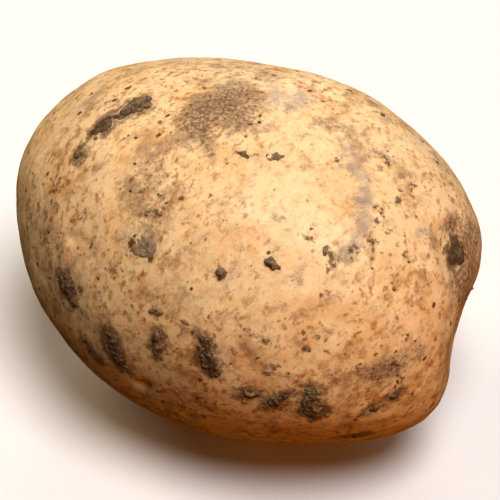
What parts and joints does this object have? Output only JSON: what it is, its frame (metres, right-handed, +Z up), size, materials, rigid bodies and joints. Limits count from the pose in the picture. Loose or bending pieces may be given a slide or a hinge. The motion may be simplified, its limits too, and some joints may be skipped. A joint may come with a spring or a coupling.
{
  "type": "potato",
  "caption": "Whole unwashed potato lying on its side, one long oval tuber with shallow eyes and crusts of dried soil on its skin.",
  "frame": {"origin": "bottom centre of the bounding box, on the surface that the potato lies on", "axes": "+X along the tuber from the heel to the rose end, +Y across it to the back, +Z up"},
  "size_m": [0.0876, 0.0684, 0.0615],
  "materials": {
    "potato_skin": "satin",
    "dried_soil": "matte"
  },
  "bodies": {
    "root": {"tuber": "potato_skin", "soil_in_big_eye": "dried_soil", "soil_above_big_eye": "dried_soil", "soil_shoulder_upper": "dried_soil", "soil_shoulder_lower": "dried_soil", "soil_shoulder_crumb": "dried_soil", "soil_crown_left": "dried_soil", "soil_crown_right": "dried_soil", "soil_front_flat": "dried_soil", "soil_front_crumb": "dried_soil", "soil_middle_crumb": "dried_soil", "soil_grey_crumb": "dried_soil", "soil_belly_drop": "dried_soil", "soil_belly_streak": "dried_soil", "soil_belly_dark": "dried_soil", "soil_heel_side_clod": "dried_soil", "soil_heel_streak": "dried_soil", "soil_ridge_left": "dried_soil", "soil_ridge_right": "dried_soil", "soil_low_clod": "dried_soil", "soil_low_streak": "dried_soil", "soil_rose_crumb": "dried_soil", "soil_rose_streak": "dried_soil", "soil_back_smear": "dried_soil", "soil_back_clod": "dried_soil", "soil_back_crumb": "dried_soil", "soil_back_shoulder": "dried_soil", "soil_heel_scar": "dried_soil", "soil_heel_low": "dried_soil", "soil_rose_under": "dried_soil"}
  },
  "joints": []
}
